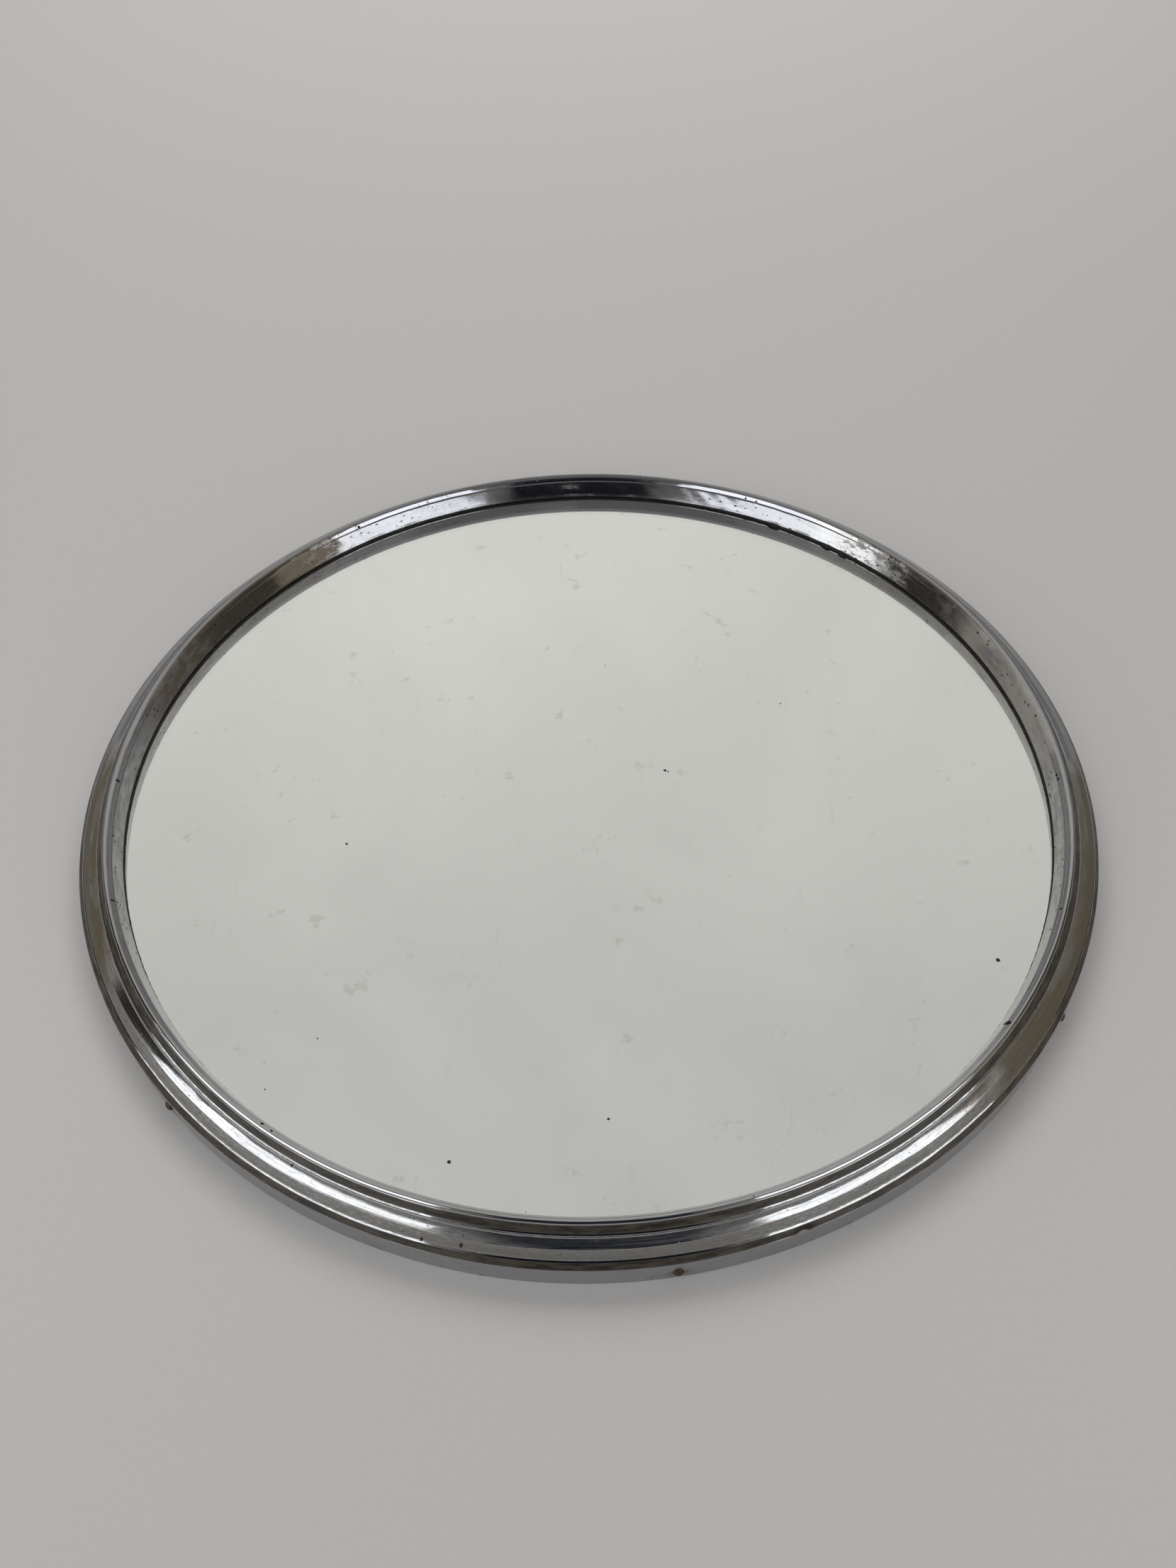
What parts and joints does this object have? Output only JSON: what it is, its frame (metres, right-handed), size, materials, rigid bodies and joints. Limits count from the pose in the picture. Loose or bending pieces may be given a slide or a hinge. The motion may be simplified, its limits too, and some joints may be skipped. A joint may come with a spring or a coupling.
{
  "type": "round wall mirror",
  "caption": "Flat round mirror in a stepped chrome-plated ring, pinned to a plywood back with a swinging wire hanger let into it.",
  "frame": {"origin": "middle of the back, on the plane that the ring's skirt stands on", "axes": "+Z is the way the glass faces, +Y is the top of the mirror as it hangs, +X completes the frame"},
  "size_m": [0.45, 0.45, 0.0223],
  "materials": {
    "chrome_plate": "polished chrome plate, pitted and tarnished",
    "clear_glass": "polished flat glass",
    "silvering": "silvered, with small dark specks",
    "mirror_paint": "matt red-brown protective paint",
    "mastic": "matt black mastic",
    "gummed_tape": "dark gummed paper tape",
    "cork": "granular cork",
    "grey_paper": "soft grey paper",
    "plywood": "bare birch plywood",
    "brown_paper": "aged brown kraft paper",
    "rusty_steel": "rusted round-head pins",
    "zinc_steel": "dull zinc-plated steel",
    "steel_wire": "drawn steel wire, lightly tarnished"
  },
  "bodies": {
    "mirror": {"bezel_ring": "chrome_plate", "mirror_glass": "clear_glass", "silver_coat": "silvering", "back_paint": "mirror_paint", "lip_seal": "mastic", "edge_tape": "gummed_tape", "glass_spacer_1": "cork", "glass_spacer_2": "cork", "glass_spacer_3": "cork", "glass_spacer_4": "cork", "glass_spacer_5": "cork", "glass_spacer_6": "cork", "cushion_paper": "grey_paper", "backing_board": "plywood", "back_paper": "brown_paper", "skirt_pins": "rusty_steel", "hanger_strap": "zinc_steel", "hanger_rivets": "zinc_steel"},
    "hanger": {"hanger_ring": "steel_wire"}
  },
  "joints": [
    {"name": "hanger_swing", "type": "hinge", "parent": "mirror", "child": "hanger", "pos_m": [0, 0.15, 0.0025], "axis": [-1, 0, 0], "range_deg": [-2, 182]}
  ]
}
